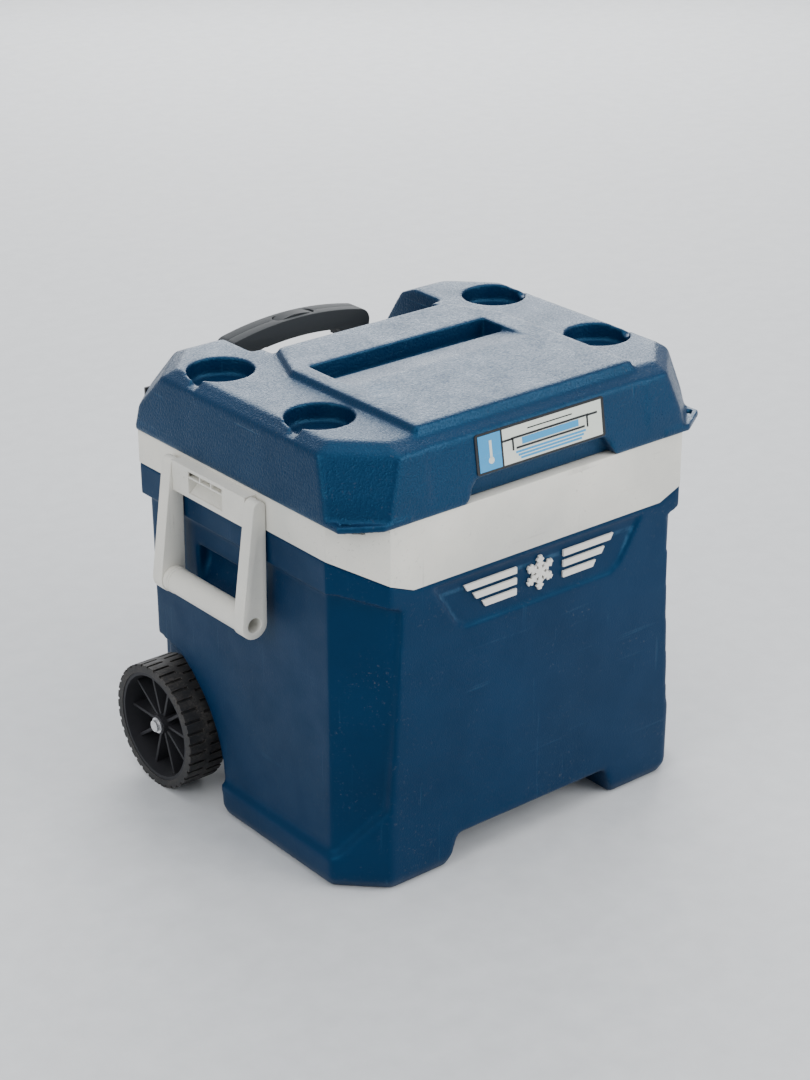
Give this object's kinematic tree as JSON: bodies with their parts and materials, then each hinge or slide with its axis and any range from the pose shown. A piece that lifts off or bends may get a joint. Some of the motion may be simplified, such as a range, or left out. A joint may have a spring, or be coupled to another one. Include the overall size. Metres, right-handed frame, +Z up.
{
  "type": "wheeled cooler",
  "caption": "Foam-insulated wheeled cooler with hinged lid, swinging side bails, telescoping tow handle, axle wheels and drain.",
  "frame": {"origin": "on the ground, in the middle of the footprint's bounding box", "axes": "+X to the cooler's right as seen from its front, +Y from the front to the tow handle at the rear, +Z up"},
  "size_m": [0.552, 0.4396, 0.499],
  "materials": {
    "shell_blue": "fine-grained moulded polypropylene, scuffed",
    "collar_cream": "satin moulded polypropylene",
    "badge_cream": "satin moulded inlay",
    "liner_white": "smooth food-grade liner",
    "foam": "foamed-in-place polyurethane",
    "gasket": "soft seal",
    "label_print": "printed and laminated film",
    "hinge_black": "moulded, satin",
    "steel": "plated steel",
    "handle_black": "moulded nylon, satin",
    "tube_aluminium": "drawn tube, anodised",
    "wheel_black": "moulded, satin",
    "tyre_black": "knobbed tread with dust in the grooves",
    "drain_white": "moulded, satin"
  },
  "bodies": {
    "tub": {"outer_shell": "shell_blue", "inner_liner": "liner_white", "foam_core": "foam", "collar_band": "collar_cream", "front_badge": "badge_cream", "tub_hinge_left": "hinge_black", "tub_hinge_right": "hinge_black", "hinge_pin_left": "steel", "hinge_pin_right": "steel", "tub_hinge_screws": "steel", "handle_bezel": "handle_black", "handle_foot": "handle_black", "handle_screws": "steel", "outer_tube_left": "tube_aluminium", "outer_tube_right": "tube_aluminium", "outer_bushing_left": "handle_black", "outer_bushing_right": "handle_black", "axle": "steel", "axle_block_left": "wheel_black", "axle_block_right": "wheel_black", "wheel_spacer_left": "wheel_black", "wheel_spacer_right": "wheel_black", "axle_cap_left": "steel", "axle_cap_right": "steel", "drain_spout": "drain_white", "drain_gasket": "gasket", "drain_nut": "drain_white"},
    "lid": {"lid_shell": "shell_blue", "lid_liner": "liner_white", "lid_foam": "foam", "lid_gasket": "gasket", "lid_label": "label_print", "lid_hinge_left": "hinge_black", "lid_hinge_right": "hinge_black", "lid_hinge_screws": "steel"},
    "bail_left": {"bail_frame_left": "collar_cream", "bail_grip_left": "collar_cream"},
    "bail_right": {"bail_frame_right": "collar_cream", "bail_grip_right": "collar_cream"},
    "handle_mid": {"mid_tube_left": "tube_aluminium", "mid_tube_right": "tube_aluminium", "mid_bushing_left": "handle_black", "mid_bushing_right": "handle_black", "mid_guide_left": "handle_black", "mid_guide_right": "handle_black"},
    "handle_top": {"inner_tube_left": "tube_aluminium", "inner_tube_right": "tube_aluminium", "inner_guide_left": "handle_black", "inner_guide_right": "handle_black", "grip_front": "handle_black", "grip_rear": "handle_black", "button_spring": "steel"},
    "button": {"release_button": "handle_black"},
    "wheel_left": {"wheel_left": "wheel_black", "tyre_left": "tyre_black"},
    "wheel_right": {"wheel_right": "wheel_black", "tyre_right": "tyre_black"},
    "drain_cap": {"drain_cap": "drain_white"}
  },
  "joints": [
    {"name": "lid_hinge", "type": "hinge", "parent": "tub", "child": "lid", "pos_m": [0, 0.2072, 0.404], "axis": [-1, 0, 0], "range_deg": [0, 95]},
    {"name": "bail_left_swing", "type": "hinge", "parent": "tub", "child": "bail_left", "pos_m": [-0.2503, 0.0052, 0.402], "axis": [0, 1, 0], "range_deg": [0, 150]},
    {"name": "bail_right_swing", "type": "hinge", "parent": "tub", "child": "bail_right", "pos_m": [0.2503, 0.0052, 0.402], "axis": [0, -1, 0], "range_deg": [0, 150]},
    {"name": "handle_lower_slide", "type": "slide", "parent": "tub", "child": "handle_mid", "axis": [0, 0, 1], "range_m": [0, 0.26]},
    {"name": "handle_upper_slide", "type": "slide", "parent": "handle_mid", "child": "handle_top", "axis": [0, 0, 1], "range_m": [0, 0.26]},
    {"name": "button_press", "type": "slide", "parent": "handle_top", "child": "button", "axis": [0, 0, -1], "range_m": [0, 0.004], "stiffness_N_per_m": 700, "springref_m": -0.002, "deforming": ["button_spring"]},
    {"name": "wheel_left_spin", "type": "hinge", "parent": "tub", "child": "wheel_left", "pos_m": [-0.236, 0.1279, 0.072], "axis": [1, 0, 0], "continuous": true},
    {"name": "wheel_right_spin", "type": "hinge", "parent": "tub", "child": "wheel_right", "pos_m": [0.236, 0.1279, 0.072], "axis": [1, 0, 0], "continuous": true},
    {"name": "drain_cap_turn", "type": "hinge", "parent": "tub", "child": "drain_cap", "pos_m": [0.244, -0.1188, 0.084], "axis": [1, 0, 0], "range_deg": [0, 720]}
  ]
}
